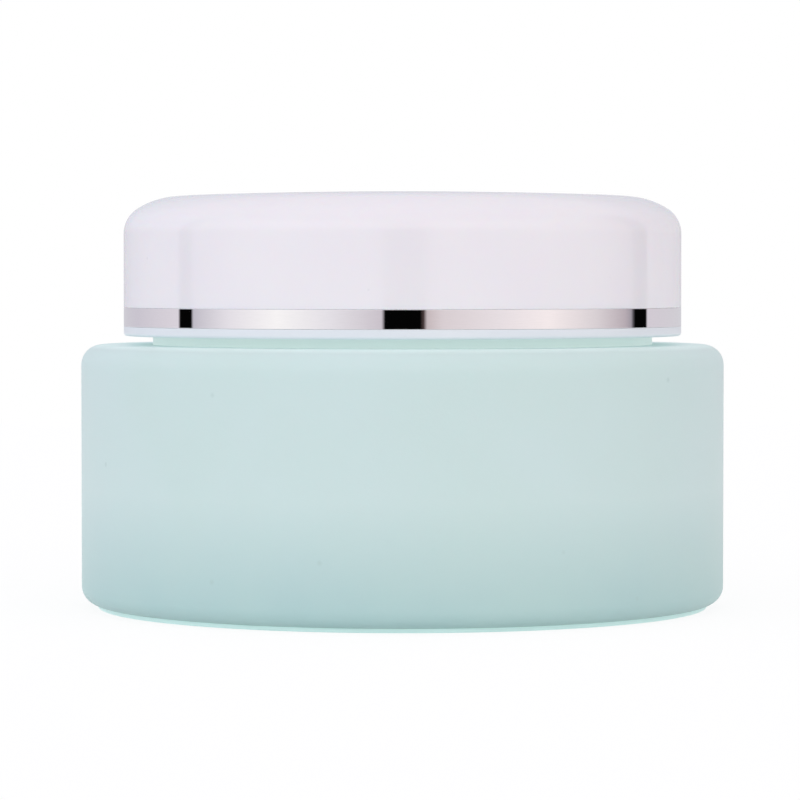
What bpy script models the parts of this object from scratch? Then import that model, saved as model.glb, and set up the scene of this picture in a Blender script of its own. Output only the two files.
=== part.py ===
"""A double-wall cream jar with a two-start screw lid, modelled piece by piece.

Jar pieces:  outer_shell, base_plate, inner_cup, sealing_disc.
Lid pieces:  cap_shell, cap_ring, cap_insert, cap_liner.

The origin is the middle of the face that the jar stands on, and +Z points up through the lid.
The lid's pieces are measured from the lid's lower edge and hang on the empty "lid".
Every piece that touches a neighbour stops SEAT_GAP short of it.
"""

from math import asin, cos, pi, radians, sin, sqrt

import bmesh
import bpy
from mathutils import Vector

MM = 0.001

# Clearances
SEAT_GAP = 0.3 * MM  # between pieces that rest on, snap over or are pressed into each other
TURN_GAP = 0.35 * MM  # between the jar and the lid that turns on it

# Outer shell
BODY_RADIUS = 36.0 * MM
SHOULDER_HEIGHT = 29.4 * MM
SHOULDER_ROUND = 2.25 * MM
HEEL_ROUND = 1.7 * MM
SHELL_WALL = 2.4 * MM

# Base plate
FOOT_HEIGHT = 0.5 * MM  # how far the plate stands out below the shell
FOOT_WIDTH = 2.8 * MM
PLATE_THICKNESS = 1.5 * MM
PLATE_RIM_HEIGHT = 3.2 * MM
PLATE_RIM_WALL = 1.3 * MM
SHELL_RABBET_WALL = 1.5 * MM  # the shell's wall where the plate's rim stands inside it

# Inner cup
COLLAR_COVER = 1.0 * MM  # how far the collar reaches up inside the lid
CUP_WALL = 1.5 * MM
CUP_FLOOR = 1.3 * MM
CUP_FOOT_CLEARANCE = 1.5 * MM
CUP_DRAFT = radians(1.3)
CUP_HEEL_ROUND = 5.0 * MM
SNAP_BEAD = 0.9 * MM

# Screw thread
THREAD_STARTS = 2
THREAD_LEAD = 8.0 * MM
THREAD_RADIUS = 0.95 * MM
THREAD_RUN_OUT = radians(25.0)
THREAD_STEP = radians(7.5)
NECK_THREAD_RISE = 1.9 * MM  # from the collar's top to the middle of the thread's lower end
THREAD_TO_RIM = 1.1 * MM  # what stays free above the middle of the thread's upper end
INSERT_THREAD_LAG = radians(38.0)  # how much further round the insert's thread starts

# Lid
LID_RADIUS = 31.25 * MM
LID_HEIGHT = 16.0 * MM
LID_TO_SHOULDER = 1.0 * MM
LIP_HEIGHT = 1.05 * MM
LIP_WIDTH = 2.9 * MM  # from the lid's side to the collar's gap
LIP_ROUND = 0.35 * MM
RING_HEIGHT = 2.1 * MM
RING_EDGE_ROUND = 0.12 * MM
CAP_WALL = 1.6 * MM
CROWN_DOME_RADIUS = 666.0 * MM
CROWN_BLEND_RADIUS = 8.3 * MM
CROWN_CORNER_RADIUS = 3.3 * MM
CROWN_CORNER_TURN = radians(56.5)
INSERT_WALL = 1.4 * MM
INSERT_TOP = 1.1 * MM
INSERT_LAND_HEIGHT = 6.2 * MM
INSERT_LAND_DEPTH = 1.45 * MM  # how far the insert's lower part stands out over its upper part
LINER_BEAD = 0.85 * MM
CAP_SNAP_HEIGHT = 4.7 * MM
CAP_SNAP_DEPTH = 0.5 * MM
LINER_THICKNESS = 1.0 * MM
LINER_EDGE_GAP = 0.5 * MM

# Sealing disc
DISC_THICKNESS = 0.8 * MM
DISC_DISH_DEPTH = 1.8 * MM
TAB_LENGTH = 11.0 * MM
TAB_WIDTH = 1.4 * MM
TAB_HEIGHT = 1.5 * MM

# Facets
TURN_STEPS = 48
ROUND_STEPS = 4
CORNER_STEPS = 1

# Heights that follow from the sizes above, over the face that the jar stands on
LID_EDGE = SHOULDER_HEIGHT + LID_TO_SHOULDER
COLLAR_TOP = LID_EDGE + COLLAR_COVER

# Radii that follow
SHELL_BORE = BODY_RADIUS - SHELL_WALL
RABBET_BORE = BODY_RADIUS - SHELL_RABBET_WALL
PLATE_RADIUS = RABBET_BORE - SEAT_GAP
CAP_BORE = LID_RADIUS - CAP_WALL
LAND_RADIUS = CAP_BORE - SEAT_GAP
INSERT_RADIUS = LAND_RADIUS - INSERT_LAND_DEPTH
INSERT_BORE = INSERT_RADIUS - INSERT_WALL
NECK_RADIUS = INSERT_BORE - TURN_GAP - THREAD_RADIUS
COLLAR_RADIUS = LID_RADIUS - LIP_WIDTH - TURN_GAP
SHOULDER_BORE = NECK_RADIUS + SEAT_GAP
CUP_BORE = NECK_RADIUS - CUP_WALL

# With the lid shut, the insert's ridge lies under the neck's ridge, TURN_GAP clear of it
RIDGE_DISTANCE = 2 * THREAD_RADIUS + TURN_GAP
THREAD_DROP = sqrt(RIDGE_DISTANCE**2 - (INSERT_BORE - NECK_RADIUS) ** 2)


def clear_scene():
    for thing in list(bpy.data.objects):
        bpy.data.objects.remove(thing, do_unlink=True)


def plastic(name, colour, roughness, metallic=0.0):
    material = bpy.data.materials.new(name)
    material.use_nodes = True
    shader = material.node_tree.nodes["Principled BSDF"]
    shader.inputs["Base Color"].default_value = (*colour, 1.0)
    shader.inputs["Roughness"].default_value = roughness
    shader.inputs["Metallic"].default_value = metallic
    return material


def arc(centre, radius, start, end, steps):
    """Points of an arc, with angles measured from +Z towards +X."""
    turns = [start + (end - start) * i / steps for i in range(steps + 1)]
    return [centre + radius * Vector((sin(a), cos(a))) for a in turns]


def rounded(corners):
    """An outline of (radius, height) points from (radius, height, rounding) corners."""
    points = []
    for i, (r, z, rounding) in enumerate(corners):
        here = Vector((r, z))
        if not rounding:
            points.append(here)
            continue
        before = (Vector(corners[i - 1][:2]) - here).normalized()
        after = (Vector(corners[(i + 1) % len(corners)][:2]) - here).normalized()
        half = before.angle(after) / 2
        centre = here + (before + after).normalized() * rounding / sin(half)
        first = here + before * rounding / sin(half) * cos(half) - centre
        last = here + after * rounding / sin(half) * cos(half) - centre
        steps = ROUND_STEPS if rounding > MM else CORNER_STEPS
        for step in range(steps + 1):
            share = step / steps
            sweep = first.angle(last)
            blend = first * sin((1 - share) * sweep) + last * sin(share * sweep)
            points.append(centre + blend / sin(sweep))
    return points


def add_object(name, mesh, material, parent=None):
    mesh.materials.append(material)
    mesh.shade_smooth()
    mesh.set_sharp_from_angle(angle=radians(35.0))
    thing = bpy.data.objects.new(name, mesh)
    thing.parent = parent
    bpy.context.scene.collection.objects.link(thing)
    return thing


def turned(name, outline, material, parent=None):
    """Turns an outline about Z. One that starts and ends on the axis is left open there."""
    bm = bmesh.new()
    verts = [bm.verts.new((p.x, 0.0, p.y)) for p in outline]
    for one, other in zip(verts, verts[1:]):
        bm.edges.new((one, other))
    if outline[0].x > 0 or outline[-1].x > 0:
        bm.edges.new((verts[-1], verts[0]))
    bmesh.ops.spin(
        bm,
        geom=bm.verts[:] + bm.edges[:],
        cent=(0, 0, 0),
        axis=(0, 0, 1),
        angle=2 * pi,
        steps=TURN_STEPS,
        use_merge=True,
    )
    bmesh.ops.remove_doubles(bm, verts=bm.verts, dist=0.001 * MM)
    bmesh.ops.recalc_face_normals(bm, faces=bm.faces)
    mesh = bpy.data.meshes.new(name)
    bm.to_mesh(mesh)
    bm.free()
    return add_object(name, mesh, material, parent)


def thread_ridges(name, radius, start_height, start_angle, sweep):
    """All starts of a right-hand thread as one round-backed mesh, thinned out at its ends."""
    curve = bpy.data.curves.new(name, "CURVE")
    curve.dimensions = "3D"
    curve.bevel_depth = THREAD_RADIUS
    curve.bevel_resolution = 2
    curve.use_fill_caps = True
    steps = round(sweep / THREAD_STEP)
    for start in range(THREAD_STARTS):
        spline = curve.splines.new("POLY")
        spline.points.add(steps)
        for i, point in enumerate(spline.points):
            turn = start_angle + sweep * i / steps
            angle = turn + 2 * pi * start / THREAD_STARTS
            height = start_height + THREAD_LEAD * turn / (2 * pi)
            point.co = (radius * cos(angle), radius * sin(angle), height, 1.0)
            to_end = min(i, steps - i) * sweep / steps
            point.radius = min(1.0, 0.3 + 0.7 * to_end / THREAD_RUN_OUT)
    source = bpy.data.objects.new(name, curve)
    mesh = bpy.data.meshes.new_from_object(source)
    bpy.data.objects.remove(source, do_unlink=True)
    bm = bmesh.new()
    bm.from_mesh(mesh)
    bmesh.ops.remove_doubles(bm, verts=bm.verts, dist=0.001 * MM)
    bmesh.ops.recalc_face_normals(bm, faces=bm.faces)
    bm.to_mesh(mesh)
    bm.free()
    return mesh


def unite(thing, tool_mesh, label):
    """Joins a tool's shape to a piece with a live Boolean. The tool itself stays hidden."""
    tool = bpy.data.objects.new(label, tool_mesh)
    tool.parent = thing.parent
    tool.hide_render = True
    tool.display_type = "WIRE"
    bpy.context.scene.collection.objects.link(tool)
    union = thing.modifiers.new(label, "BOOLEAN")
    union.operation = "UNION"
    union.object = tool
    union.solver = "EXACT"


def crown(inset):
    """The lid's crown, from its middle to the top of its straight side, moved in by inset.

    Three arcs run into each other: a shallow dome, a blend and a tighter corner.
    Heights are over the lid's edge.
    """
    blend_end = pi / 2 - CROWN_CORNER_TURN
    reach = LID_RADIUS - CROWN_CORNER_RADIUS * (1 - sin(blend_end)) - CROWN_BLEND_RADIUS * sin(blend_end)
    dome_end = asin(reach / (CROWN_DOME_RADIUS - CROWN_BLEND_RADIUS))
    dome = Vector((0.0, LID_HEIGHT - CROWN_DOME_RADIUS))
    to_blend = CROWN_DOME_RADIUS - CROWN_BLEND_RADIUS
    blend = dome + to_blend * Vector((sin(dome_end), cos(dome_end)))
    to_corner = CROWN_BLEND_RADIUS - CROWN_CORNER_RADIUS
    corner = blend + to_corner * Vector((sin(blend_end), cos(blend_end)))
    points = arc(dome, CROWN_DOME_RADIUS - inset, 0.0, dome_end, ROUND_STEPS)
    points += arc(blend, CROWN_BLEND_RADIUS - inset, dome_end, blend_end, ROUND_STEPS)[1:]
    points += arc(corner, CROWN_CORNER_RADIUS - inset, blend_end, pi / 2, ROUND_STEPS)[1:]
    return points


def height_on(points, radius):
    """The height at which a line of points that runs outwards and down passes a radius."""
    for one, other in zip(points, points[1:]):
        if one.x <= radius <= other.x:
            share = (radius - one.x) / (other.x - one.x)
            return one.y + (other.y - one.y) * share
    return points[-1].y


# Heights inside the lid, over the lid's edge: the stack hangs from the crown's inner face
INSERT_TOP_FACE = height_on(crown(CAP_WALL), INSERT_RADIUS) - SEAT_GAP
LINER_TOP = INSERT_TOP_FACE - INSERT_TOP - SEAT_GAP
LINER_BOTTOM = LINER_TOP - LINER_THICKNESS

# Heights inside the jar, over the face that it stands on: the disc and the rim follow the liner
DISC_TOP = LID_EDGE + LINER_BOTTOM - SEAT_GAP
RIM_TOP = DISC_TOP - DISC_THICKNESS - SEAT_GAP

# How far round each thread runs: as far as the neck's height lets it climb, in whole steps
THREAD_CLIMB = RIM_TOP - THREAD_TO_RIM - COLLAR_TOP - NECK_THREAD_RISE
THREAD_SWEEP = THREAD_STEP * int(2 * pi * THREAD_CLIMB / THREAD_LEAD / THREAD_STEP)


def make_outer_shell(material):
    """The frosted outer wall with its shoulder, open below where its core was drawn out."""
    under_shoulder = SHOULDER_HEIGHT - SHELL_WALL
    rabbet_top = PLATE_RIM_HEIGHT + SEAT_GAP
    heel = Vector((BODY_RADIUS - HEEL_ROUND, FOOT_HEIGHT + HEEL_ROUND))
    heel_end = pi - asin(max(0.0, RABBET_BORE - heel.x) / HEEL_ROUND)
    inside = [
        (RABBET_BORE, rabbet_top, 0),
        (SHELL_BORE, rabbet_top, 0),
        (SHELL_BORE, under_shoulder, SHOULDER_ROUND / 2),
        (SHOULDER_BORE, under_shoulder, 0),
        (SHOULDER_BORE, SHOULDER_HEIGHT, 0),
        (BODY_RADIUS, SHOULDER_HEIGHT, SHOULDER_ROUND),
        (BODY_RADIUS, heel.y, 0),
    ]
    outline = rounded(inside) + arc(heel, HEEL_ROUND, pi / 2, heel_end, ROUND_STEPS)[1:]
    outline.append(Vector((RABBET_BORE, outline[-1].y)))
    return turned("outer_shell", outline, material)


def make_base_plate(material):
    """The plate that closes the shell from below and carries the foot ring."""
    recess = FOOT_HEIGHT
    floor_top = recess + PLATE_THICKNESS
    rim_bore = PLATE_RADIUS - PLATE_RIM_WALL
    corners = [
        (0, floor_top, 0),
        (rim_bore, floor_top, 0.6 * MM),
        (rim_bore, PLATE_RIM_HEIGHT, 0),
        (PLATE_RADIUS, PLATE_RIM_HEIGHT, 0.3 * MM),
        (PLATE_RADIUS, 0, 0.2 * MM),
        (PLATE_RADIUS - FOOT_WIDTH, 0, 0.2 * MM),
        (PLATE_RADIUS - FOOT_WIDTH - recess, recess, 0),
        (0, recess, 0),
    ]
    return turned("base_plate", rounded(corners), material)


def make_inner_cup(material):
    """The cup that holds the cream: its collar sits on the shoulder, its neck has the thread."""
    bottom = FOOT_HEIGHT + PLATE_THICKNESS + CUP_FOOT_CLEARANCE
    collar_bottom = SHOULDER_HEIGHT + SEAT_GAP
    bead_top = SHOULDER_HEIGHT - SHELL_WALL - SEAT_GAP
    bead_bottom = bead_top - 2 * SNAP_BEAD
    taper = (bead_bottom - bottom) * sin(CUP_DRAFT) / cos(CUP_DRAFT)
    corners = [
        (0, bottom + CUP_FLOOR, 0),
        (CUP_BORE - taper, bottom + CUP_FLOOR, CUP_HEEL_ROUND - CUP_WALL),
        (CUP_BORE, bead_bottom, 0),
        (CUP_BORE, RIM_TOP, 0.4 * MM),
        (NECK_RADIUS, RIM_TOP, 0.4 * MM),
        (NECK_RADIUS, COLLAR_TOP, 0),
        (COLLAR_RADIUS, COLLAR_TOP, 0.3 * MM),
        (COLLAR_RADIUS, collar_bottom, 0),
        (NECK_RADIUS, collar_bottom, 0),
        (NECK_RADIUS, bead_top, 0),
        (NECK_RADIUS + SNAP_BEAD, bead_top, 0.3 * MM),
        (NECK_RADIUS, bead_bottom, 0),
        (NECK_RADIUS - taper, bottom, CUP_HEEL_ROUND),
        (0, bottom, 0),
    ]
    cup = turned("inner_cup", rounded(corners), material)
    first = COLLAR_TOP + NECK_THREAD_RISE
    ridges = thread_ridges("neck_thread", NECK_RADIUS, first, 0.0, THREAD_SWEEP)
    unite(cup, ridges, "neck_thread")
    return cup


def make_sealing_disc(material):
    """The loose disc on the cup's rim, dished so that its pull tab stays under the lid."""
    plug = CUP_BORE - SEAT_GAP
    dish_bore = plug - DISC_THICKNESS
    dish_top = DISC_TOP - DISC_DISH_DEPTH
    corners = [
        (0, dish_top, 0),
        (dish_bore, dish_top, 0.5 * MM),
        (dish_bore, DISC_TOP, 0.3 * MM),
        (NECK_RADIUS, DISC_TOP, 0.3 * MM),
        (NECK_RADIUS, DISC_TOP - DISC_THICKNESS, 0),
        (plug, DISC_TOP - DISC_THICKNESS, 0),
        (plug, dish_top - DISC_THICKNESS, 0.3 * MM),
        (0, dish_top - DISC_THICKNESS, 0),
    ]
    disc = turned("sealing_disc", rounded(corners), material)
    sunk = DISC_THICKNESS / 2
    bm = bmesh.new()
    bmesh.ops.create_cube(bm, size=1.0)
    bmesh.ops.scale(bm, vec=(TAB_LENGTH, TAB_WIDTH, TAB_HEIGHT + sunk), verts=bm.verts)
    bmesh.ops.translate(bm, vec=(0, 0, dish_top + (TAB_HEIGHT - sunk) / 2), verts=bm.verts)
    upright = [e for e in bm.edges if abs(e.verts[0].co.z - e.verts[1].co.z) > MM]
    bmesh.ops.bevel(
        bm,
        geom=upright,
        offset=0.45 * TAB_WIDTH,
        segments=3,
        profile=0.5,
        affect="EDGES",
        material=-1,
    )
    tab = bpy.data.meshes.new("pull_tab")
    bm.to_mesh(tab)
    bm.free()
    unite(disc, tab, "pull_tab")
    return disc


def make_cap_liner(material, lid):
    """The foam wad that the insert's bead holds up and the rim presses on."""
    radius = INSERT_BORE - LINER_EDGE_GAP
    corners = [
        (0, LINER_TOP, 0),
        (radius, LINER_TOP, 0.25 * MM),
        (radius, LINER_BOTTOM, 0.25 * MM),
        (0, LINER_BOTTOM, 0),
    ]
    return turned("cap_liner", rounded(corners), material, lid)


def make_cap_insert(material, lid):
    """The threaded insert: its lip closes the lid below and traps the ring under the shell."""
    lip_bore = COLLAR_RADIUS + TURN_GAP
    lip_top = LIP_HEIGHT - SEAT_GAP / 2
    step = COLLAR_COVER + TURN_GAP
    bead_top = LINER_BOTTOM - SEAT_GAP
    bead_bottom = bead_top - 1.5 * LINER_BEAD
    inner_top = INSERT_TOP_FACE - INSERT_TOP
    corners = [
        (0, INSERT_TOP_FACE, 0),
        (INSERT_RADIUS, INSERT_TOP_FACE, 0.6 * MM),
        (INSERT_RADIUS, INSERT_LAND_HEIGHT + LAND_RADIUS - INSERT_RADIUS, 0),
        (LAND_RADIUS, INSERT_LAND_HEIGHT, 0),
        (LAND_RADIUS, CAP_SNAP_HEIGHT + CAP_SNAP_DEPTH, 0),
        (LAND_RADIUS + CAP_SNAP_DEPTH, CAP_SNAP_HEIGHT, 0),
        (LAND_RADIUS, CAP_SNAP_HEIGHT - CAP_SNAP_DEPTH, 0),
        (LAND_RADIUS, lip_top, 0),
        (LID_RADIUS, lip_top, 0),
        (LID_RADIUS, 0, LIP_ROUND),
        (lip_bore, 0, LIP_ROUND),
        (lip_bore, step, 0),
        (INSERT_BORE, step, 0.3 * MM),
        (INSERT_BORE, bead_bottom, 0),
        (INSERT_BORE - LINER_BEAD, bead_top - LINER_BEAD / 2, 0),
        (INSERT_BORE - LINER_BEAD, bead_top, 0),
        (INSERT_BORE, bead_top, 0),
        (INSERT_BORE, inner_top, 0),
        (0, inner_top, 0),
    ]
    insert = turned("cap_insert", rounded(corners), material, lid)
    first = COLLAR_COVER + NECK_THREAD_RISE - THREAD_DROP
    ridges = thread_ridges("insert_thread", INSERT_BORE, first, INSERT_THREAD_LAG, THREAD_SWEEP)
    unite(insert, ridges, "insert_thread")
    return insert


def make_cap_ring(material, lid):
    """The bright ring between the lip and the shell."""
    low = LIP_HEIGHT + SEAT_GAP / 2
    high = LIP_HEIGHT + RING_HEIGHT - SEAT_GAP / 2
    corners = [
        (CAP_BORE, high, 0),
        (LID_RADIUS, high, RING_EDGE_ROUND),
        (LID_RADIUS, low, RING_EDGE_ROUND),
        (CAP_BORE, low, 0),
    ]
    return turned("cap_ring", rounded(corners), material, lid)


def make_cap_shell(material, lid):
    """The glossy outer shell of the lid, with a groove inside that snaps over the insert."""
    low = LIP_HEIGHT + RING_HEIGHT + SEAT_GAP / 2
    skirt = [
        (LID_RADIUS, low),
        (CAP_BORE, low),
        (CAP_BORE, CAP_SNAP_HEIGHT - CAP_SNAP_DEPTH),
        (CAP_BORE + CAP_SNAP_DEPTH, CAP_SNAP_HEIGHT),
        (CAP_BORE, CAP_SNAP_HEIGHT + CAP_SNAP_DEPTH),
    ]
    outline = crown(0.0) + [Vector(point) for point in skirt] + crown(CAP_WALL)[::-1]
    return turned("cap_shell", outline, material, lid)


def main():
    clear_scene()
    frosted_mint = plastic("frosted_mint_plastic", (0.58, 0.75, 0.70), 0.45)
    mint = plastic("mint_polypropylene", (0.50, 0.72, 0.66), 0.4)
    clear_white = plastic("natural_polypropylene", (0.82, 0.84, 0.84), 0.45)
    foam = plastic("white_foam", (0.85, 0.85, 0.85), 0.8)
    white = plastic("white_polypropylene", (0.76, 0.77, 0.81), 0.35)
    gloss_white = plastic("gloss_white_abs", (0.80, 0.77, 0.83), 0.12)
    silver = plastic("silver_plating", (0.9, 0.88, 0.88), 0.08, metallic=1.0)

    lid = bpy.data.objects.new("lid", None)
    lid.location = (0.0, 0.0, LID_EDGE)
    bpy.context.scene.collection.objects.link(lid)

    make_outer_shell(frosted_mint)
    make_base_plate(frosted_mint)
    make_inner_cup(mint)
    make_sealing_disc(clear_white)
    make_cap_liner(foam, lid)
    make_cap_insert(white, lid)
    make_cap_ring(silver, lid)
    make_cap_shell(gloss_white, lid)


main()
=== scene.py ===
"""The looks of a double-wall cream jar: frosted mint shell, glossy white screw lid, bright ring."""

from math import asin, cos, pi, radians, sin

import bmesh
import bpy
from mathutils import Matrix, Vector


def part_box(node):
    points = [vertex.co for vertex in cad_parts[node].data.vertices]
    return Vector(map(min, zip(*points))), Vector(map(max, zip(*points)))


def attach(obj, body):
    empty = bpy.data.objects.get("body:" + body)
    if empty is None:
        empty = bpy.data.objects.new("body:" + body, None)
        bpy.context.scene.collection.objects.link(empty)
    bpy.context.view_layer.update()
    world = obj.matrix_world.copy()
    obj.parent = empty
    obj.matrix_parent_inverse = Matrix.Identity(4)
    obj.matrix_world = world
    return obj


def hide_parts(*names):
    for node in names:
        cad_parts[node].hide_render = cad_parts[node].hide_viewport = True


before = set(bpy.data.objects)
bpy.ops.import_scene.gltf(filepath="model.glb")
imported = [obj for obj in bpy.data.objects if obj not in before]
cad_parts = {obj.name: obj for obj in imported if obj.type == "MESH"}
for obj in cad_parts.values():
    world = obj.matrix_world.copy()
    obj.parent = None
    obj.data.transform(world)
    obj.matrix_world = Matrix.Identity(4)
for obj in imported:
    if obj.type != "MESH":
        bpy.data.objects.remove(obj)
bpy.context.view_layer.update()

MM = 0.001
TURN_STEPS = 180
SEAM = 0.012 * MM  # the hairline that shows where two moulded pieces meet


# ---------------------------------------------------------------- colours and nodes


def colour(code, alpha=1.0):
    """An sRGB hex code as linear red, green, blue and alpha."""
    parts = [int(code[i : i + 2], 16) / 255 for i in (1, 3, 5)]
    linear = [p / 12.92 if p <= 0.04045 else ((p + 0.055) / 1.055) ** 2.4 for p in parts]
    return (*linear, alpha)


def add(tree, kind, links=(), inputs=(), **settings):
    """Adds a node, sets its properties and input values, and links what feeds it."""
    node = tree.nodes.new(kind)
    for name, value in settings.items():
        setattr(node, name, value)
    for name, value in dict(inputs).items():
        node.inputs[name].default_value = value
    for name, source in dict(links).items():
        tree.links.new(source, node.inputs[name])
    return node


def new_material(name):
    """An empty material with its output, its shader and the piece's own coordinates."""
    material = bpy.data.materials.new(name)
    material.use_nodes = True
    tree = material.node_tree
    tree.nodes.clear()
    output = add(tree, "ShaderNodeOutputMaterial")
    shader = add(tree, "ShaderNodeBsdfPrincipled")
    tree.links.new(shader.outputs["BSDF"], output.inputs["Surface"])
    place = add(tree, "ShaderNodeTexCoord").outputs["Object"]
    return material, tree, shader, place


def noise(tree, place, size, detail=2.0, roughness=0.5):
    """Noise whose lumps are about size metres across."""
    inputs = {"Scale": 1.0 / size, "Detail": detail, "Roughness": roughness}
    return add(tree, "ShaderNodeTexNoise", {"Vector": place}, inputs).outputs["Fac"]


def spread(tree, value, low, high, in_low=0.3, in_high=0.7):
    """Maps a pattern's usual range onto another one."""
    inputs = {"From Min": in_low, "From Max": in_high, "To Min": low, "To Max": high}
    return add(tree, "ShaderNodeMapRange", {"Value": value}, inputs).outputs["Result"]


def blend(tree, amount, first, second):
    """Mixes two colours, each a code or a socket."""
    mix = add(tree, "ShaderNodeMix", data_type="RGBA")
    tree.links.new(amount, mix.inputs[0])
    for slot, value in ((6, first), (7, second)):
        if isinstance(value, str):
            mix.inputs[slot].default_value = colour(value)
        else:
            tree.links.new(value, mix.inputs[slot])
    return mix.outputs[2]


def bump(tree, height, depth, under=None):
    """A bump of the given depth in metres, on top of another one."""
    links = {"Height": height}
    if under is not None:
        links["Normal"] = under
    return add(tree, "ShaderNodeBump", links, {"Strength": 1.0, "Distance": depth}).outputs["Normal"]


def height_of(tree, place):
    return add(tree, "ShaderNodeSeparateXYZ", {"Vector": place}).outputs["Z"]


# ---------------------------------------------------------------- materials


def frosted_shell_material():
    """PETG, injection moulded over a blasted cavity, tinted pale mint.

    The blasted skin scatters light, so the wall has no sharp reflection. Its colour is painted
    darker towards the foot as painted shade, a faint painted glow lights the wall and more so the
    top of the shoulder, and a few specks of regrind lie in the resin.
    """
    material, tree, shader, place = new_material("frosted_petg_mint")
    lo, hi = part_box("outer_shell")
    # painted shade: the wall's colour darkens to #b4d4d3 over its lowest 13 mm, towards the foot
    rise = spread(tree, height_of(tree, place), 0.0, 1.0, lo.z, lo.z + 13 * MM)
    cloud = noise(tree, place, 14 * MM, 2.0)
    shade = blend(tree, rise, "#b4d4d3", "#d6eae8")
    shade = blend(tree, spread(tree, cloud, 0.0, 0.25), shade, "#cfe6dd")
    # painted light: an emission glow, faint over the whole wall and stronger on the shoulder's top
    light = spread(tree, height_of(tree, place), 0.02, 0.19, hi.z - 0.4 * MM, hi.z)
    tree.links.new(light, shader.inputs["Emission Strength"])
    shader.inputs["Emission Color"].default_value = colour("#cfe0de")
    cells = add(tree, "ShaderNodeTexVoronoi", {"Vector": place}, {"Scale": 1.0 / (7 * MM)})
    speck = spread(tree, cells.outputs["Distance"], 0.35, 0.0, 0.02, 0.055)
    tree.links.new(blend(tree, speck, shade, "#b3cdc8"), shader.inputs["Base Color"])
    grain = noise(tree, place, 0.25 * MM, 3.0, 0.6)
    tree.links.new(spread(tree, grain, 0.42, 0.54), shader.inputs["Roughness"])
    tree.links.new(bump(tree, grain, 0.012 * MM), shader.inputs["Normal"])
    shader.inputs["IOR"].default_value = 1.57
    shader.inputs["Specular IOR Level"].default_value = 0.3
    shader.inputs["Subsurface Weight"].default_value = 0.35
    shader.inputs["Subsurface Radius"].default_value = (1.0, 1.25, 1.2)
    shader.inputs["Subsurface Scale"].default_value = 2.0 * MM
    return material


def base_material():
    """The same resin as the shell, thicker, with painted light: it glows by a constant emission."""
    material, tree, shader, place = new_material("frosted_petg_mint_base")
    cloud = noise(tree, place, 9 * MM, 2.0)
    shade = blend(tree, spread(tree, cloud, 0.0, 1.0), "#c6e2de", "#cfe9e6")
    tree.links.new(shade, shader.inputs["Base Color"])
    grain = noise(tree, place, 0.25 * MM, 3.0, 0.6)
    tree.links.new(spread(tree, grain, 0.40, 0.52), shader.inputs["Roughness"])
    tree.links.new(bump(tree, grain, 0.010 * MM), shader.inputs["Normal"])
    shader.inputs["IOR"].default_value = 1.57
    # painted light: the foot glows by emission, though it is no lamp
    shader.inputs["Emission Color"].default_value = colour("#b4d0cd")
    shader.inputs["Emission Strength"].default_value = 0.38
    return material


def cup_material():
    """Polypropylene, injection moulded and coloured in the mass, satin with a waxy depth."""
    material, tree, shader, place = new_material("moulded_polypropylene_mint")
    cloud = noise(tree, place, 8 * MM, 2.0)
    shade = blend(tree, spread(tree, cloud, 0.0, 1.0), "#bfe0d9", "#c7e5de")
    tree.links.new(shade, shader.inputs["Base Color"])
    grain = noise(tree, place, 0.4 * MM, 2.0)
    tree.links.new(spread(tree, grain, 0.30, 0.40), shader.inputs["Roughness"])
    tree.links.new(bump(tree, grain, 0.006 * MM), shader.inputs["Normal"])
    shader.inputs["Subsurface Weight"].default_value = 0.25
    shader.inputs["Subsurface Radius"].default_value = (1.0, 1.2, 1.1)
    shader.inputs["Subsurface Scale"].default_value = 1.5 * MM
    return material


def glowing_collar_material():
    """The cup's polypropylene at the collar as a painted lit copy: paler, glowing by emission."""
    material, tree, shader, place = new_material("moulded_polypropylene_painted_glow_collar")
    cloud = noise(tree, place, 6 * MM, 2.0)
    shade = blend(tree, spread(tree, cloud, 0.0, 1.0), "#d8e4e1", "#dce7e4")
    tree.links.new(shade, shader.inputs["Base Color"])
    grain = noise(tree, place, 0.4 * MM, 2.0)
    tree.links.new(spread(tree, grain, 0.38, 0.48), shader.inputs["Roughness"])
    # painted light: the collar glows by emission, though it is no lamp
    shader.inputs["Emission Color"].default_value = colour("#dcf0ea")
    shader.inputs["Emission Strength"].default_value = 0.31
    return material


def disc_material():
    """Natural polypropylene, thin and milky, with the faint flow lines of its gate."""
    material, tree, shader, place = new_material("natural_polypropylene_milky")
    wave = add(
        tree,
        "ShaderNodeTexWave",
        {"Vector": place},
        {"Scale": 1.0 / (14 * MM), "Distortion": 3.0, "Detail": 2.0},
        wave_type="RINGS",
        rings_direction="Z",
    )
    shade = blend(tree, wave.outputs["Fac"], "#e3eaea", "#edf1f1")
    tree.links.new(shade, shader.inputs["Base Color"])
    tree.links.new(spread(tree, wave.outputs["Fac"], 0.30, 0.38, 0.0, 1.0), shader.inputs["Roughness"])
    tree.links.new(bump(tree, wave.outputs["Fac"], 0.01 * MM), shader.inputs["Normal"])
    shader.inputs["Subsurface Weight"].default_value = 0.3
    shader.inputs["Subsurface Scale"].default_value = 1.0 * MM
    return material


def foam_material():
    """Polyethylene foam wad, cut from sheet: matt, with the pits of its closed cells."""
    material, tree, shader, place = new_material("polyethylene_foam_white")
    cells = add(tree, "ShaderNodeTexVoronoi", {"Vector": place}, {"Scale": 1.0 / (0.35 * MM)})
    cell = cells.outputs["Distance"]
    tree.links.new(blend(tree, cell, "#dcdcdc", "#f4f4f2"), shader.inputs["Base Color"])
    tree.links.new(spread(tree, cell, 0.75, 0.9, 0.0, 1.0), shader.inputs["Roughness"])
    tree.links.new(bump(tree, cell, 0.06 * MM), shader.inputs["Normal"])
    return material


def insert_material():
    """White polypropylene, injection moulded and semi-gloss, a shade bluer than the lid."""
    material, tree, shader, place = new_material("moulded_polypropylene_white")
    cloud = noise(tree, place, 10 * MM, 2.0)
    shade = blend(tree, spread(tree, cloud, 0.0, 1.0), "#ecf0f6", "#f0f3f8")
    tree.links.new(shade, shader.inputs["Base Color"])
    shader.inputs["Roughness"].default_value = 0.28
    return material


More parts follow.
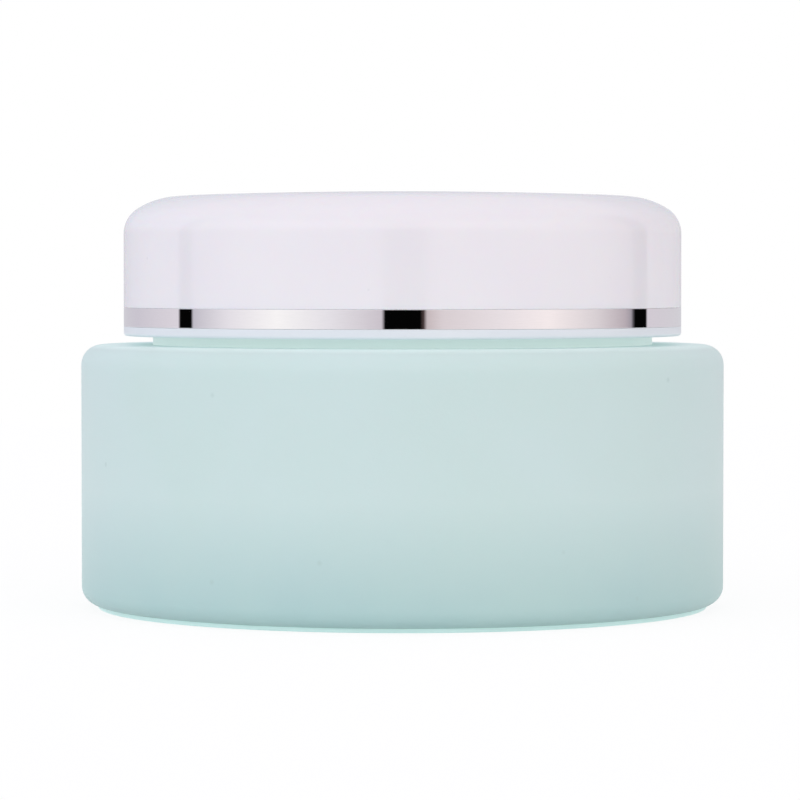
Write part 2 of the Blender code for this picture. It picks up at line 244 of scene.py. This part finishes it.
def lid_material():
    """ABS, injection moulded in a polished cavity: a cool, faintly lilac white under high gloss.

    The skin is a mirror that is not quite true, with slow waves from the shrinking wall, and it
    carries very faint dust and rub marks.
    """
    material, tree, shader, place = new_material("polished_abs_white")
    cloud = noise(tree, place, 18 * MM, 2.0)
    shade = blend(tree, spread(tree, cloud, 0.0, 1.0), "#f7f3f8", "#faf7fa")
    dust = add(tree, "ShaderNodeTexVoronoi", {"Vector": place}, {"Scale": 1.0 / (6 * MM)})
    speck = spread(tree, dust.outputs["Distance"], 0.3, 0.0, 0.012, 0.035)
    tree.links.new(blend(tree, speck, shade, "#cfcad6"), shader.inputs["Base Color"])
    rub = noise(tree, place, 3 * MM, 4.0, 0.65)
    tree.links.new(spread(tree, rub, 0.05, 0.09), shader.inputs["Roughness"])
    slow = noise(tree, place, 16 * MM, 1.0)
    tree.links.new(bump(tree, slow, 0.03 * MM), shader.inputs["Normal"])
    shader.inputs["IOR"].default_value = 1.52
    shader.inputs["Subsurface Weight"].default_value = 0.1
    shader.inputs["Subsurface Scale"].default_value = 1.0 * MM
    return material


def ring_material():
    """Vacuum-plated plastic: a bright mirror with the hair-fine lines of the turned mould."""
    material, tree, shader, place = new_material("vacuum_plated_silver")
    stretch = add(tree, "ShaderNodeMapping", {"Vector": place}, {"Scale": (0.08, 0.08, 1.0)})
    lines = noise(tree, stretch.outputs["Vector"], 0.09 * MM, 2.0)
    shade = blend(tree, spread(tree, lines, 0.0, 1.0), "#f5f2f3", "#f7f4f5")
    tree.links.new(shade, shader.inputs["Base Color"])
    tree.links.new(spread(tree, lines, 0.012, 0.03), shader.inputs["Roughness"])
    tree.links.new(bump(tree, lines, 0.0001 * MM), shader.inputs["Normal"])
    shader.inputs["Metallic"].default_value = 1.0
    return material


# ---------------------------------------------------------------- shapes


def arc(centre, radius, start, end, steps):
    """Points of an arc, with angles measured from +Z towards +X."""
    turns = [start + (end - start) * i / steps for i in range(steps + 1)]
    return [Vector(centre) + radius * Vector((sin(a), cos(a))) for a in turns]


def rounded(corners):
    """An outline of points from (radius, height, rounding) corners.

    A point just outside each rounding holds the flats beside it truly flat when shaded smooth.
    """
    points = []
    for i, (r, z, rounding) in enumerate(corners):
        here = Vector((r, z))
        if not rounding:
            points.append(here)
            continue
        before = (Vector(corners[i - 1][:2]) - here).normalized()
        after = (Vector(corners[(i + 1) % len(corners)][:2]) - here).normalized()
        half = before.angle(after) / 2
        reach = rounding * cos(half) / sin(half)
        centre = here + (before + after).normalized() * rounding / sin(half)
        first, last = here + before * reach - centre, here + after * reach - centre
        sweep = first.angle(last)
        steps = max(4, round(sweep / radians(7.5)))
        hold = 0.06 * rounding
        points.append(centre + first + before * hold)
        for step in range(steps + 1):
            share = step / steps
            spoke = first * sin((1 - share) * sweep) + last * sin(share * sweep)
            points.append(centre + spoke / sin(sweep))
        points.append(centre + last + after * hold)
    return points


def finished(name, mesh, material, node, body):
    """Makes the shaded object of a piece and lets it stand for its CAD node."""
    mesh.materials.clear()
    mesh.materials.append(material)
    mesh.shade_smooth()
    mesh.set_sharp_from_angle(angle=radians(30.0))
    piece = bpy.data.objects.new(name, mesh)
    bpy.context.scene.collection.objects.link(piece)
    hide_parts(node)
    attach(piece, body)
    return piece


def turned(outline):
    """A mesh turned about Z from an outline, closed at the axis or on itself."""
    bm = bmesh.new()
    verts = [bm.verts.new((p.x, 0.0, p.y)) for p in outline]
    for one, other in zip(verts, verts[1:]):
        bm.edges.new((one, other))
    if outline[0].x > 0 or outline[-1].x > 0:
        bm.edges.new((verts[-1], verts[0]))
    bmesh.ops.spin(
        bm,
        geom=bm.verts[:] + bm.edges[:],
        cent=(0, 0, 0),
        axis=(0, 0, 1),
        angle=2 * pi,
        steps=TURN_STEPS,
        use_merge=True,
    )
    bmesh.ops.remove_doubles(bm, verts=bm.verts, dist=0.0005 * MM)
    bmesh.ops.recalc_face_normals(bm, faces=bm.faces)
    mesh = bpy.data.meshes.new("turned")
    bm.to_mesh(mesh)
    bm.free()
    return mesh


def joined(mesh, extra):
    """One mesh of a wall and of ridges or a tab rooted in it."""
    bm = bmesh.new()
    bm.from_mesh(mesh)
    bm.from_mesh(extra)
    bm.to_mesh(mesh)
    bm.free()
    return mesh


def thread_ridges(radius, ridge, lead, start_height, start_angle, sweep, run_out):
    """Both starts of the right-hand thread, round-backed and thinned out at their ends."""
    curve = bpy.data.curves.new("thread", "CURVE")
    curve.dimensions = "3D"
    curve.bevel_depth = ridge
    curve.bevel_resolution = 4
    curve.use_fill_caps = True
    steps = round(sweep / radians(4.0))
    for start in (0.0, pi):
        spline = curve.splines.new("POLY")
        spline.points.add(steps)
        for i, point in enumerate(spline.points):
            turn = start_angle + sweep * i / steps
            height = start_height + lead * turn / (2 * pi)
            point.co = (radius * cos(turn + start), radius * sin(turn + start), height, 1.0)
            to_end = min(i, steps - i) * sweep / steps
            point.radius = min(1.0, 0.25 + 0.75 * sin(min(1.0, to_end / run_out) * pi / 2))
    source = bpy.data.objects.new("thread", curve)
    mesh = bpy.data.meshes.new_from_object(source)
    bpy.data.objects.remove(source, do_unlink=True)
    bm = bmesh.new()
    bm.from_mesh(mesh)
    bmesh.ops.remove_doubles(bm, verts=bm.verts, dist=0.0005 * MM)
    bmesh.ops.recalc_face_normals(bm, faces=bm.faces)
    bm.to_mesh(mesh)
    bm.free()
    return mesh


# ---------------------------------------------------------------- sizes read from the frame

SHELL_LOW, SHELL_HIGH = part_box("outer_shell")
PLATE_LOW, PLATE_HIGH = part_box("base_plate")
CUP_LOW, CUP_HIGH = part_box("inner_cup")
DISC_LOW, DISC_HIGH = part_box("sealing_disc")
LINER_LOW, LINER_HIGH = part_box("cap_liner")
INSERT_LOW, INSERT_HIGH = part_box("cap_insert")
RING_LOW, RING_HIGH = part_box("cap_ring")
CAP_LOW, CAP_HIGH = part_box("cap_shell")

SHOULDER = SHELL_HIGH.z
BODY_RADIUS = SHELL_HIGH.x
LID_RADIUS = CAP_HIGH.x
LID_EDGE = INSERT_LOW.z
LIP_TOP = (RING_LOW.z + LID_EDGE + 0.9 * MM) / 2
RING_TOP = (RING_HIGH.z + CAP_LOW.z) / 2
COLLAR_RADIUS = CUP_HIGH.x
COLLAR_TOP = LID_EDGE + 1.0 * MM
NECK_RADIUS = DISC_HIGH.x
CUP_BORE = NECK_RADIUS - 1.5 * MM
CAP_WALL = 1.6 * MM
THREAD_RIDGE = 0.95 * MM
INSERT_BORE = NECK_RADIUS + THREAD_RIDGE + 0.35 * MM


# ---------------------------------------------------------------- jar pieces


def make_outer_shell():
    wall, shoulder_round, heel_round = 2.4 * MM, 2.25 * MM, 2.0 * MM
    bore = BODY_RADIUS - wall
    rabbet = PLATE_HIGH.x + 2 * SEAM
    neck_hole = NECK_RADIUS + 0.2 * MM
    step = PLATE_HIGH.z + 2 * SEAM
    under = SHOULDER - wall
    heel = Vector((BODY_RADIUS - heel_round, SHELL_LOW.z - 0.06 * MM + heel_round))
    heel_end = pi - asin((rabbet - heel.x) / heel_round)
    corners = [
        (rabbet, step, 0),
        (bore, step, 0),
        (bore, under, 1.1 * MM),
        (neck_hole, under, 0),
        (neck_hole, SHOULDER, 0),
        (BODY_RADIUS, SHOULDER, shoulder_round),
        (BODY_RADIUS, heel.y + 0.15 * MM, 0),
    ]
    outline = rounded(corners) + arc(heel, heel_round, pi / 2, heel_end, 12)
    outline.append(Vector((rabbet, outline[-1].y + 0.05 * MM)))
    mesh = turned(outline)
    return finished("shell_wall", mesh, frosted_shell_material(), "outer_shell", "jar")


def make_base_plate():
    radius, recess = PLATE_HIGH.x, 0.5 * MM
    foot_bore = radius - 2.8 * MM
    rim_bore = radius - 1.3 * MM
    floor_top = recess + 1.5 * MM
    corners = [
        (0, floor_top, 0),
        (rim_bore, floor_top, 0.6 * MM),
        (rim_bore, PLATE_HIGH.z, 0.3 * MM),
        (radius, PLATE_HIGH.z, 0.3 * MM),
        (radius, 0, 0.2 * MM),
        (foot_bore, 0, 0.2 * MM),
        (foot_bore - recess, recess, 0.3 * MM),
        (0, recess, 0),
    ]
    mesh = turned(rounded(corners))
    return finished("base_foot", mesh, base_material(), "base_plate", "jar")


def make_inner_cup():
    bottom, floor = CUP_LOW.z, CUP_LOW.z + 1.3 * MM
    bead_top = SHOULDER - 2.4 * MM - 2 * SEAM
    bead_bottom = bead_top - 1.8 * MM
    taper = (bead_bottom - bottom) * sin(radians(1.3))
    corners = [
        (0, floor, 0),
        (CUP_BORE - taper, floor, 3.5 * MM),
        (CUP_BORE, bead_bottom, 0),
        (CUP_BORE, CUP_HIGH.z, 0.5 * MM),
        (NECK_RADIUS, CUP_HIGH.z, 0.4 * MM),
        (NECK_RADIUS, COLLAR_TOP, 0.3 * MM),
        (COLLAR_RADIUS, COLLAR_TOP, 0.3 * MM),
        (COLLAR_RADIUS, SHOULDER + SEAM / 2, 0),
        (NECK_RADIUS, SHOULDER + SEAM / 2, 0),
        (NECK_RADIUS, bead_top, 0),
        (NECK_RADIUS + 0.9 * MM, bead_top, 0.3 * MM),
        (NECK_RADIUS, bead_bottom, 0),
        (NECK_RADIUS - taper, bottom, 5.0 * MM),
        (0, bottom, 0),
    ]
    ridges = thread_ridges(
        NECK_RADIUS, THREAD_RIDGE, 8 * MM, COLLAR_TOP + 1.9 * MM, 0.0, radians(232.5), radians(25)
    )
    mesh = joined(turned(rounded(corners)), ridges)
    cup = finished("cup_and_neck", mesh, cup_material(), "inner_cup", "jar")
    # painted light: the collar's outer faces above the shoulder get the paler, glowing copy
    cup.data.materials.append(glowing_collar_material())
    for face in cup.data.polygons:
        outwards = Vector(face.center[:2]).length > NECK_RADIUS + THREAD_RIDGE
        if outwards and face.center.z > SHOULDER and abs(face.normal.z) < 0.5:
            face.material_index = 1
    return cup


def make_sealing_disc():
    thick = 0.8 * MM
    plug = CUP_BORE - 0.15 * MM
    dish_bore = plug - thick
    dish_top = DISC_HIGH.z - 1.8 * MM
    flange = DISC_HIGH.z - thick - 0.2 * MM
    corners = [
        (0, dish_top, 0),
        (dish_bore, dish_top, 0.6 * MM),
        (dish_bore, DISC_HIGH.z, 0.3 * MM),
        (NECK_RADIUS, DISC_HIGH.z, 0.3 * MM),
        (NECK_RADIUS, flange, 0.2 * MM),
        (plug, flange, 0),
        (plug, DISC_LOW.z, 0.4 * MM),
        (0, DISC_LOW.z, 0),
    ]
    sunk, length, width, rise = thick / 2, 11.0 * MM, 1.4 * MM, 1.5 * MM
    bm = bmesh.new()
    bmesh.ops.create_cube(bm, size=1.0)
    bmesh.ops.scale(bm, vec=(length, width, rise + sunk), verts=bm.verts)
    bmesh.ops.translate(bm, vec=(0, 0, dish_top + (rise - sunk) / 2), verts=bm.verts)
    upright = [e for e in bm.edges if abs(e.verts[0].co.z - e.verts[1].co.z) > MM]
    look = {"profile": 0.5, "affect": "EDGES", "material": -1}
    bmesh.ops.bevel(bm, geom=upright, offset=0.45 * width, segments=8, **look)
    top = [e for e in bm.edges if min(v.co.z for v in e.verts) > dish_top + 0.9 * rise]
    bmesh.ops.bevel(bm, geom=top, offset=0.3 * MM, segments=4, **look)
    tab = bpy.data.meshes.new("tab")
    bm.to_mesh(tab)
    bm.free()
    mesh = joined(turned(rounded(corners)), tab)
    return finished("seal_disc", mesh, disc_material(), "sealing_disc", "seal")


# ---------------------------------------------------------------- lid pieces


def crown(inset):
    """The lid's crown from its middle to its straight side: a shallow dome, a blend, a corner."""
    dome_radius, blend_radius, corner_radius = 666.0 * MM, 8.3 * MM, 3.3 * MM
    blend_end = pi / 2 - radians(56.5)
    reach = LID_RADIUS - corner_radius * (1 - sin(blend_end)) - blend_radius * sin(blend_end)
    dome_end = asin(reach / (dome_radius - blend_radius))
    dome = Vector((0.0, CAP_HIGH.z - dome_radius))
    middle = dome + (dome_radius - blend_radius) * Vector((sin(dome_end), cos(dome_end)))
    corner = middle + (blend_radius - corner_radius) * Vector((sin(blend_end), cos(blend_end)))
    points = arc(dome, dome_radius - inset, 0.0, dome_end, 10)
    points += arc(middle, blend_radius - inset, dome_end, blend_end, 12)[1:]
    points += arc(corner, corner_radius - inset, blend_end, pi / 2, 14)[1:]
    return points + [points[-1] - Vector((0.0, 0.12 * MM))]


def make_cap_shell():
    low = RING_TOP + SEAM / 2
    bore = LID_RADIUS - CAP_WALL
    snap, deep = LID_EDGE + 4.7 * MM, 0.5 * MM
    skirt = [
        (LID_RADIUS, low, 0.05 * MM),
        (bore, low, 0),
        (bore, snap - deep, 0),
        (bore + deep, snap, 0),
        (bore, snap + deep, 0),
    ]
    outer, inner = crown(0.0), crown(CAP_WALL)[::-1]
    corners = [(p.x, p.y, 0) for p in outer] + skirt + [(p.x, p.y, 0) for p in inner]
    mesh = turned(rounded(corners))
    return finished("lid_shell", mesh, lid_material(), "cap_shell", "lid")


def make_cap_ring():
    low, high, bore = LIP_TOP + SEAM / 2, RING_TOP - SEAM / 2, LID_RADIUS - CAP_WALL
    edge = 0.04 * MM
    corners = [
        (bore, high, 0),
        (LID_RADIUS, high, edge),
        (LID_RADIUS, low, edge),
        (bore, low, 0),
    ]
    mesh = turned(rounded(corners))
    return finished("bright_ring", mesh, ring_material(), "cap_ring", "lid")


def make_cap_insert():
    land = LID_RADIUS - CAP_WALL - 0.1 * MM
    outside = INSERT_BORE + 1.4 * MM
    lip_bore = COLLAR_RADIUS + 0.35 * MM
    lip_top = LIP_TOP - SEAM / 2
    step = LID_EDGE + 1.35 * MM
    snap, deep = LID_EDGE + 4.7 * MM, 0.45 * MM
    land_top = LID_EDGE + 6.2 * MM
    bead_top = LINER_LOW.z - 0.1 * MM
    bead = 0.85 * MM
    ceiling = LINER_HIGH.z + 0.1 * MM
    corners = [
        (0, INSERT_HIGH.z, 0),
        (outside, INSERT_HIGH.z, 0.6 * MM),
        (outside, land_top + land - outside, 0),
        (land, land_top, 0),
        (land, snap + deep, 0),
        (land + deep, snap, 0),
        (land, snap - deep, 0),
        (land, lip_top, 0),
        (LID_RADIUS, lip_top, 0.05 * MM),
        (LID_RADIUS, LID_EDGE, 0.35 * MM),
        (lip_bore, LID_EDGE, 0.35 * MM),
        (lip_bore, step, 0),
        (INSERT_BORE, step, 0.3 * MM),
        (INSERT_BORE, bead_top - 1.5 * bead, 0),
        (INSERT_BORE - bead, bead_top - bead / 2, 0.15 * MM),
        (INSERT_BORE - bead, bead_top, 0.15 * MM),
        (INSERT_BORE, bead_top, 0),
        (INSERT_BORE, ceiling, 0),
        (0, ceiling, 0),
    ]
    drop = ((2 * THREAD_RIDGE + 0.35 * MM) ** 2 - (INSERT_BORE - NECK_RADIUS) ** 2) ** 0.5
    first = COLLAR_TOP + 1.9 * MM - drop
    ridges = thread_ridges(
        INSERT_BORE, THREAD_RIDGE, 8 * MM, first, radians(38), radians(232.5), radians(25)
    )
    mesh = joined(turned(rounded(corners)), ridges)
    return finished("lid_insert", mesh, insert_material(), "cap_insert", "lid")


def make_cap_liner():
    edge = 0.25 * MM
    corners = [
        (0, LINER_HIGH.z, 0),
        (LINER_HIGH.x, LINER_HIGH.z, edge),
        (LINER_HIGH.x, LINER_LOW.z, edge),
        (0, LINER_LOW.z, 0),
    ]
    mesh = turned(rounded(corners))
    return finished("liner_wad", mesh, foam_material(), "cap_liner", "liner")


# ---------------------------------------------------------------- studio


def make_floor():
    """A white sweep: near white to the eye, with the jar's soft shadow left in it."""
    bm = bmesh.new()
    bmesh.ops.create_circle(bm, cap_ends=True, radius=0.55, segments=96)
    mesh = bpy.data.meshes.new("floor")
    bm.to_mesh(mesh)
    bm.free()
    floor = bpy.data.objects.new("floor", mesh)
    bpy.context.scene.collection.objects.link(floor)
    material = bpy.data.materials.new("white_paper_sweep")
    material.use_nodes = True
    tree = material.node_tree
    tree.nodes.clear()
    output = add(tree, "ShaderNodeOutputMaterial")
    paper = add(tree, "ShaderNodeBsdfDiffuse", inputs={"Color": colour("#f4f4f4")})
    glow = add(tree, "ShaderNodeEmission", inputs={"Color": colour("#ffffff"), "Strength": 1.04})
    path = add(tree, "ShaderNodeLightPath")
    glossy = add(
        tree,
        "ShaderNodeMath",
        {0: path.outputs["Is Glossy Ray"], 1: path.outputs["Is Transmission Ray"]},
        operation="MAXIMUM",
    )
    seen = add(
        tree,
        "ShaderNodeMath",
        {0: path.outputs["Is Camera Ray"], 1: glossy.outputs[0]},
        operation="MAXIMUM",
    )
    share = add(tree, "ShaderNodeMath", {0: seen.outputs[0]}, {1: 0.85}, operation="MULTIPLY")
    mix = add(tree, "ShaderNodeMixShader", {0: share.outputs[0], 1: paper.outputs[0], 2: glow.outputs[0]})
    tree.links.new(mix.outputs[0], output.inputs["Surface"])
    mesh.materials.append(material)


def ramp(tree, value, stops, interpolation="LINEAR"):
    """A colour ramp through (place, colour code) stops."""
    node = add(tree, "ShaderNodeValToRGB", {"Fac": value})
    node.color_ramp.interpolation = interpolation
    elements = node.color_ramp.elements
    elements[0].position, elements[0].color = stops[0][0], colour(stops[0][1])
    elements[1].position, elements[1].color = stops[-1][0], colour(stops[-1][1])
    for place, code in stops[1:-1]:
        elements.new(place).color = colour(code)
    return node.outputs["Color"]


def make_world():
    """Two tall softboxes with hot middles, black gaps beside them and a pale room beyond.

    Bearings are in degrees round the jar: 0 is towards the camera and +90 is towards +X.
    """
    world = bpy.data.worlds.new("studio")
    bpy.context.scene.world = world
    world.use_nodes = True
    tree = world.node_tree
    tree.nodes.clear()
    output = add(tree, "ShaderNodeOutputWorld")
    way = add(tree, "ShaderNodeSeparateXYZ", {0: add(tree, "ShaderNodeTexCoord").outputs["Generated"]})
    towards = add(tree, "ShaderNodeMath", {0: way.outputs["Y"]}, {1: -1.0}, operation="MULTIPLY")
    bearing = add(
        tree, "ShaderNodeMath", {0: way.outputs["X"], 1: towards.outputs[0]}, operation="ARCTAN2"
    )
    around = spread(tree, bearing.outputs[0], 0.0, 1.0, -pi, pi)
    bands = [
        (-180, "#d2d2d8"),
        (-140, "#cfccd6"),
        (-110, "#dedae2"),
        (-103.4, "#e0dce4"),
        (-103.1, "#050505"),
        (-95.2, "#050505"),
        (-94.6, "#c6c4ce"),
        (-75, "#ebe9ef"),
        (-52, "#ffffff"),
        (-30, "#ecebf0"),
        (-7.5, "#d0cad2"),
        (-7.2, "#050505"),
        (7.8, "#050505"),
        (8.4, "#2a0c06"),
        (8.8, "#c9bdbf"),
        (16, "#e0d8db"),
        (40, "#efe9ec"),
        (61, "#fdf5f5"),
        (85, "#e0dadd"),
        (103, "#bdb3ba"),
        (108.0, "#9c98a2"),
        (108.4, "#050505"),
        (118.8, "#050505"),
        (119.2, "#d9d4dc"),
        (150, "#d6d4da"),
        (180, "#d2d2d8"),
    ]
    wall = ramp(tree, around, [((angle + 180) / 360, code) for angle, code in bands])
    bounce = [
        (-180, "#8f959d"),
        (-115, "#b2bccb"),
        (-55, "#f2f6fd"),
        (0, "#f8f8f8"),
        (55, "#e4e2e0"),
        (115, "#8f8e8e"),
        (180, "#8f959d"),
    ]
    room = ramp(tree, around, [((angle + 180) / 360, code) for angle, code in bounce])
    fill = spread(tree, way.outputs["Z"], 0.0, 0.6, 0.03, 0.16)
    wall = blend(tree, fill, wall, room)
    above = spread(tree, way.outputs["Z"], 0.0, 1.0, 0.52, 0.62)
    sky = blend(tree, above, wall, "#c0bec3")
    light = add(tree, "ShaderNodeBackground", {"Color": sky})
    lift = spread(tree, way.outputs["Z"], 1.0, 1.52, 0.02, 0.16)
    tree.links.new(lift, light.inputs["Strength"])
    seen = add(tree, "ShaderNodeBackground", inputs={"Color": colour("#ffffff"), "Strength": 1.0})
    path = add(tree, "ShaderNodeLightPath")
    mix = add(
        tree,
        "ShaderNodeMixShader",
        {0: path.outputs["Is Camera Ray"], 1: light.outputs[0], 2: seen.outputs[0]},
    )
    tree.links.new(mix.outputs[0], output.inputs["Surface"])


def make_camera():
    """Level with the lid, 0.43 m from the axis, tipped down so that the jar sits mid-picture."""
    data = bpy.data.cameras.new("camera")
    data.lens = 171.0
    data.sensor_width = 36.0
    camera = bpy.data.objects.new("camera", data)
    camera.location = (-0.28 * MM, -427.3 * MM, 36.9 * MM)
    camera.rotation_euler = (radians(90.0 - 1.847), 0.0, 0.0)
    bpy.context.scene.collection.objects.link(camera)
    bpy.context.scene.camera = camera


make_camera()
make_outer_shell()
make_base_plate()
make_inner_cup()
make_sealing_disc()
make_cap_liner()
make_cap_insert()
make_cap_ring()
make_cap_shell()
make_floor()
make_world()
bpy.context.scene.view_settings.view_transform = "Standard"
